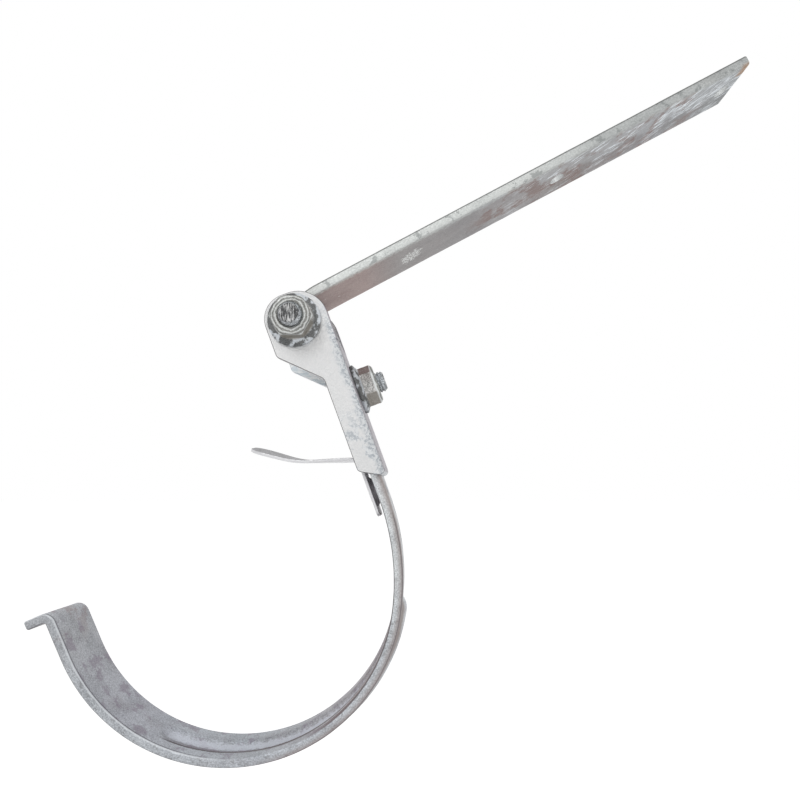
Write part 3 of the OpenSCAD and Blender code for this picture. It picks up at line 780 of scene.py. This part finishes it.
# Gutter hook. The same flat bar: a slotted straight leg, an open bend, the half-round seat with a
# pressed stiffening bead, a straight front, and a lip that the gutter's front roll sits over.
LEG_TOP, LEG_END, BACK_R, BACK_TURN, SEAT_R, SEAT_TURN = 14.0, 89.5, 110.0, 26.5, 77.5, 150.7
FRONT_RISE, LIP_R, LIP_TURN, LIP_LEN = 17.0, 5.3, 91.0, 8.0
BEAD_W, BEAD_DEPTH, BEAD_FROM, BEAD_TO, BEAD_RUNOUT, BEAD_BLEND = 13.6, 2.5, 1.5, 105.5, 8.0, 0.5
SLOT_W, SLOT_UP, SLOT_DOWN, SLOT_ROUND, LEG_OUT, TINTS_OVER = 10.6, 15.3, 10.3, 0.6, LEG_IN + BAR_T, 375.0
bead_r = (BEAD_W ** 2 / 4 + BEAD_DEPTH ** 2) / (2 * BEAD_DEPTH)
leg_run = LEG_END - LEG_TOP
seat_run = leg_run + math.radians(BACK_TURN) * BACK_R
hook_stations = bent_path(placed(leg_slope, LEG_IN, -LEG_TOP), leg_slope - 90,
                          [(leg_run,), (BACK_R, -BACK_TURN), (SEAT_R, -SEAT_TURN), (FRONT_RISE,),
                           (LIP_R, LIP_TURN), (LIP_LEN,)], 1.2)


def bead_lift(run, y, extra):
    """How far the pressed bead stands out of a face, on the bar's inside or its outside."""
    first, last = (seat_run + math.radians(t) * SEAT_R for t in (BEAD_FROM, BEAD_TO))
    beyond = max(first - run, run - last, 0.0)
    sink = BEAD_RUNOUT - math.sqrt(max(BEAD_RUNOUT ** 2 - beyond ** 2, 0.0))
    radius = bead_r + extra
    if beyond >= BEAD_RUNOUT or abs(y) >= radius:
        return 0.0
    lift = math.sqrt(radius ** 2 - y ** 2) - (radius - BEAD_DEPTH) - sink
    if abs(lift) < BEAD_BLEND:
        return (lift + BEAD_BLEND) ** 2 / (4 * BEAD_BLEND)
    return max(0.0, lift)


def hook_form(run, y, depth):
    """The bead in both faces, and lumps on faces and edges below the straight leg."""
    if abs(y) > EDGE_Y:
        y += math.copysign(lump(run, depth, 5, 11, 0.08) - 0.08, y) if run > leg_run else 0
    elif min(abs(depth), abs(depth - BAR_T)) < 0.2:
        depth += bead_lift(run, y, 0.0 if depth < BAR_T / 2 else BAR_T)
        depth += lump(run, y, depth * 0.2, 7, 0.05) - 0.01 if run > leg_run else 0
    return y, depth


hook = swept("Gutter_hook", hook_stations, BAR_W, BAR_T, BAR_EDGE, 44, hook_form)
slot_outline = rounded([(along - CLAMP_DROP, side * SLOT_W / 2, SLOT_ROUND) for along, side in (
    (-SLOT_DOWN, -1), (SLOT_UP, -1), (SLOT_UP, 1), (-SLOT_DOWN, 1))], 30)
slot = prism("Slot", slot_outline, LEG_IN - 3, LEG_OUT + 3, lambda a, b, h: from_pivot(leg_slope, h, b, a))
cut(hook, slot)
settled(hook)
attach(hook, "hook")
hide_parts("gutter_hook")


def hook_marks(shade, colour, run, v, where):
    """A mottled purple-grey inside; a painted highlight on the bead's far wall, and painted shade along the
    bead's near side, lip and bottom and along the creased strip by the inner arris; a speckled near edge
    between a pale arris with a painted highlight and a dark arris; and a brown outside."""
    inside = shade.band(v, 1.6, 3.0)
    near_edge = shade.window(v, 0.0, 1.8, 0.5)
    place = shade.math("DIVIDE", run, TINTS_OVER)
    tints = shade.ramp(place, [
        (0.0, tone(204, 204, 204)), (0.30, tone(200, 190, 190)), (0.45, tone(200, 192, 194)),
        (0.62, tone(206, 210, 214)), (0.78, tone(208, 208, 214)), (0.90, tone(206, 206, 208)),
        (1.0, tone(214, 214, 218))])
    edges = shade.ramp(place, [
        (0.0, tone(255, 255, 253)), (0.28, tone(250, 252, 251)), (0.40, tone(236, 238, 240)),
        (0.60, tone(216, 218, 222)), (0.82, tone(214, 216, 218)), (1.0, tone(198, 198, 200))])
    colour = shade.mix(1.0, colour, shade.mix(inside, edges, tints), "MULTIPLY")
    mottle = shade.band(shade.noise(where, 95, 5, 0.65), 0.52, 0.60)
    colour = shade.mix(shade.product(mottle, inside, 0.6), colour, tone(136, 126, 140))
    blots = shade.band(shade.noise(where, 70, 5, 0.7), 0.54, 0.60)
    colour = shade.mix(shade.product(blots, shade.band(run, 330, 350), 0.5), colour, tone(142, 124, 124))
    specks = shade.band(shade.noise(where, 420, 4, 0.7), 0.54, 0.60)
    specks = shade.product(specks, near_edge, shade.band(run, 90, 130), 0.5)
    colour = shade.mix(specks, colour, tone(128, 128, 130))

    seat = shade.window(run, seat_run + 72, 68, 10)
    # Painted highlight: a pale band on the bead's far wall, where it faces the light.
    glow = shade.ragged(v, shade.noise(where, 500, 4, 0.75), 9)
    bead_highlight = shade.product(shade.window(glow, 19.2, 1.0, 2.6), seat, 0.62)
    colour = shade.mix(bead_highlight, colour, tone(222, 226, 236))
    # Painted shade: a dark band on the bead's bottom and a near-black line at its near lip.
    colour = shade.mix(shade.product(shade.window(v, 14.0, 1.6, 1.2), seat, 0.5), colour, tone(104, 92, 98))
    colour = shade.mix(shade.product(shade.window(v, 9.3, 0.5, 0.5), seat, 0.9), colour, tone(62, 50, 54))
    front = shade.band(run, 230, 270)
    colour = shade.mix(shade.product(shade.window(v, 2.9, 0.2, 0.35), front, 0.7), colour, tone(92, 90, 98))
    # Painted highlight: a thin pale line along the inner arris.
    arris = shade.product(shade.window(v, 2.1, 0.2, 0.3), shade.math("ADD", front, 0.1, True), 0.6)
    colour = shade.mix(arris, colour, tone(236, 240, 244))
    # Painted shade: dark bands in the bead's near side and along the strip by the inner arris.
    shaded_groove_span = shade.window(run, seat_run + 52, 34, 26)
    shaded_crease_span = shade.window(run, seat_run + 30, 24, 26)
    colour = shade.mix(shade.product(shade.window(v, 11.0, 2.6, 2.0), shaded_groove_span, 0.85), colour, tone(66, 50, 52))
    colour = shade.mix(shade.product(shade.window(v, 3.9, 1.7, 0.7), shaded_crease_span, 0.9), colour, tone(84, 56, 56))

    outside = shade.product(shade.band(v, -2.4, -3.4), shade.band(shade.noise(where, 60, 4, 0.6), 0.44, 0.62))
    colour = shade.mix(shade.product(outside, 0.3), colour, tone(148, 136, 132))
    brown = shade.product(shade.window(v, -6.0, 3.4, 4.0), shade.window(run, 130, 75, 30))
    colour = shade.mix(shade.product(brown, 0.85), colour, tone(144, 130, 126))
    arris = shade.product(shade.window(v, -2.1, 0.3, 0.4), shade.band(run, 78, 88))
    colour = shade.mix(shade.product(arris, 0.7), colour, tone(110, 106, 110))
    bend = shade.window(run, 125, 45, 12)
    return shade.mix(shade.product(shade.window(v, 2.2, 0.25, 0.35), bend, 0.75), colour, tone(96, 92, 94))


hook.data.materials.append(zinc_material(
    "Zinc on the hook", (244, 247, 250), (92, 92, 100), (132, 108, 106), 0.16, 0.42, 0.2,
    marks=hook_marks, flowing=(0.8, 1, 1)))


# Spring strip. A thin strip riveted low on the leg, standing a little off it so that the gutter's
# rear edge slips in between. It bends over the gutter and ends in a long round tongue.
STRIP_W, STRIP_T, STRIP_EDGE, STRIP_END, STRIP_OUT = 20.0, 1.5, 0.35, 96.6, 5.7
STRIP_LEG, STRIP_BEND, STRIP_TURN, STRIP_ROUND = 24.4, 5.0, 72.0, 3.5
TONGUE_FLAT, TONGUE_R, TONGUE_TURN, TONGUE_TIP = 18.0, 42.0, 17.0, 17.5
RIVET_UP, CUP_R, CUP_FLOOR_R, TONGUE_TWIST, TIP_GAP = 12.0, 8.2, 4.8, -7.0, 0.4
strip_stations = bent_path(placed(leg_slope, STRIP_OUT, -STRIP_END), leg_slope + 90,
                           [(STRIP_LEG,), (STRIP_BEND + STRIP_T, STRIP_TURN), (TONGUE_FLAT,),
                            (TONGUE_R + STRIP_T, -TONGUE_TURN), (TONGUE_TIP - TIP_GAP,)], 0.6)
strip_total = strip_stations[-1][0]


def strip_half_width(run):
    """Rounded corners at the lower end and a half-round tongue, cut off flat just before its tip."""
    half = STRIP_W / 2
    if run < STRIP_ROUND:
        return half - STRIP_ROUND + math.sqrt(STRIP_ROUND ** 2 - (STRIP_ROUND - run) ** 2)
    past = run - (strip_total + TIP_GAP - half)
    return math.sqrt(max(half ** 2 - past ** 2, 0.01)) if past > 0 else half


def strip_form(run, y, depth):
    """The cup pressed in round the rivet, and the tongue's slight twist."""
    away = math.hypot(run - RIVET_UP, y)
    share = min(1.0, max(0.0, (CUP_R - away) / (CUP_R - CUP_FLOOR_R)))
    depth -= (LEG_IN - STRIP_OUT) * share * share * (3 - 2 * share)
    twist_from = STRIP_LEG + 12
    along = max(0.0, (run - twist_from) / (strip_total - twist_from))
    twist = math.radians(TONGUE_TWIST) * along
    y, depth = y * math.cos(twist) - depth * math.sin(twist), depth * math.cos(twist) + y * math.sin(twist)
    return y, depth


strip = swept("Spring_strip", strip_stations, STRIP_W, STRIP_T, STRIP_EDGE, 26, strip_form, strip_half_width)
settled(strip)
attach(strip, "hook")
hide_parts("spring_strip")


def strip_marks(shade, colour, run, v, where):
    """A grey upper face on the tongue, which is painted shade, under which the thin near edge stays bright.
    """
    # Painted shade: the tongue's upper face is darkened to grey.
    upper = shade.product(shade.band(v, 0.55, 0.95), shade.band(run, STRIP_LEG + 8, STRIP_LEG + 26))
    cloud = shade.band(shade.noise(where, 240, 3, 0.6), 0.4, 0.6)
    grey = shade.mix(cloud, tone(96, 96, 98), tone(124, 122, 128))
    colour = shade.mix(shade.product(upper, 0.94), colour, grey)
    arris = shade.window(v, 0.75, 0.08, 0.15)
    return shade.mix(shade.product(arris, 0.5), colour, tone(120, 120, 122))


strip.data.materials.append(zinc_material(
    "Zinc on the strip", (232, 232, 234), (166, 166, 172), (150, 138, 138), 0.1, 0.16, 0.05,
    relief=0.08, marks=strip_marks, flowing=(0.5, 1, 1), dull=0.8))


# Rivet. A steel rivet through the strip's cup and the leg. It is closed flat in the leg's countersink,
# and has a duller zinc coat than the strip.
rivet_zinc = zinc_material("Zinc on the rivet", (200, 202, 204), (120, 122, 126), (120, 100, 92),
                           0.5, 0.6, 0.2, size=1.8)
rivet = bpy.data.objects["spring_rivet"]
rivet.data.materials.clear()
rivet.data.materials.append(rivet_zinc)
